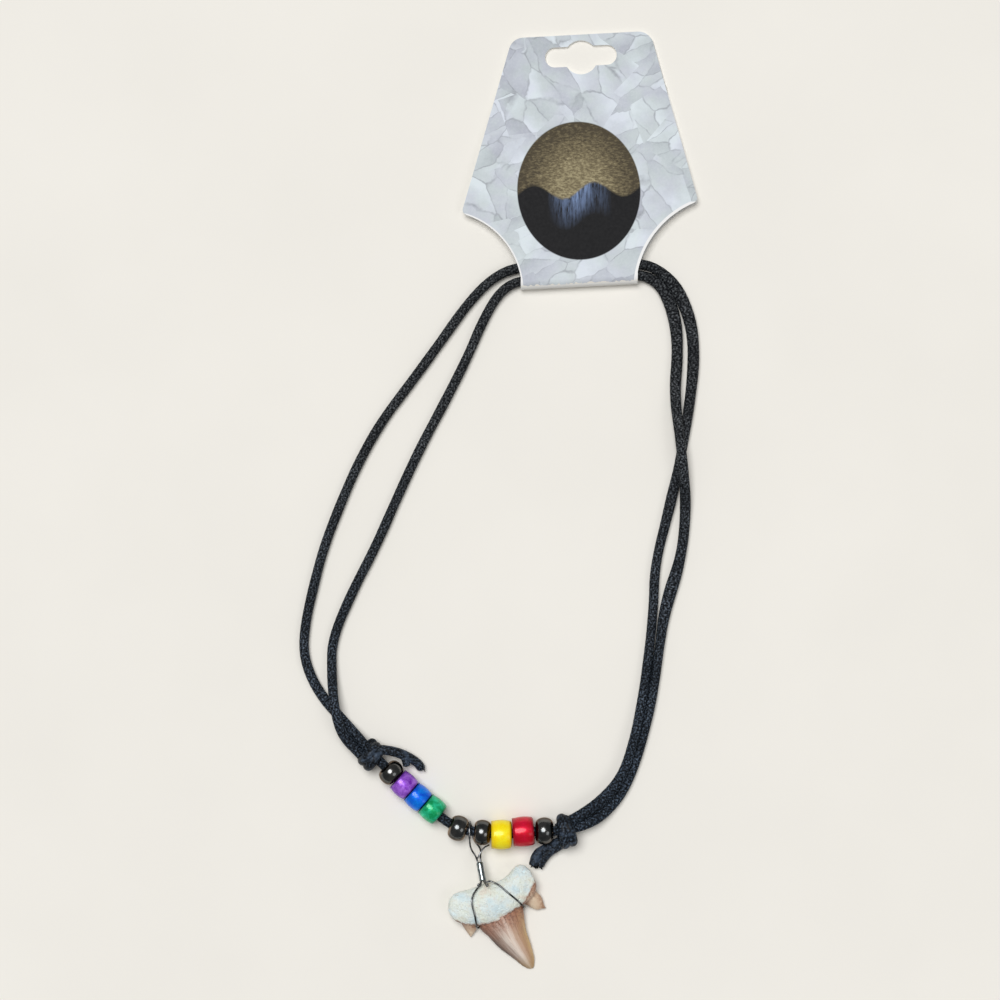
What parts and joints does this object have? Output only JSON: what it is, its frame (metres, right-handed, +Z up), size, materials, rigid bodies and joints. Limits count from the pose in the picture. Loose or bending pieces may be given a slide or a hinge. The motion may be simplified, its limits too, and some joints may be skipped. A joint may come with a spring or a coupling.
{
  "type": "shark tooth necklace with a folded display card",
  "caption": "Black braided cord necklace with a wire-wrapped shark tooth and bright barrel beads, lying with its neck cord through a folded hang card.",
  "frame": {"origin": "centre of the underside of the whole piece, leaving out the two neck strands, on the surface that it lies on", "axes": "+Z up from the surface, +Y from the tooth towards the card's hang slot, +X to the right with the card's printed side up"},
  "size_m": [0.1002, 0.2348, 0.0075],
  "materials": {
    "cord": "satin",
    "dark_metal": "polished",
    "purple_plastic": "gloss",
    "blue_plastic": "gloss",
    "green_plastic": "gloss",
    "yellow_plastic": "gloss",
    "red_plastic": "gloss",
    "wire_metal": "satin",
    "tooth_root": "matte",
    "card": "satin"
  },
  "bodies": {
    "root": {"neck_strand_a_left": "cord", "neck_strand_a_right": "cord", "neck_strand_b_left": "cord", "neck_strand_b_right": "cord", "bead_cord": "cord", "left_knot": "cord", "right_knot": "cord", "metal_bead_1": "dark_metal", "metal_bead_2": "dark_metal", "metal_bead_3": "dark_metal", "metal_bead_4": "dark_metal", "purple_bead": "purple_plastic", "blue_bead": "blue_plastic", "green_bead": "green_plastic", "yellow_bead": "yellow_plastic", "red_bead": "red_plastic", "wire_bail": "wire_metal", "crimp_tube": "wire_metal", "shark_tooth": "tooth_root", "display_card": "card"}
  },
  "joints": []
}
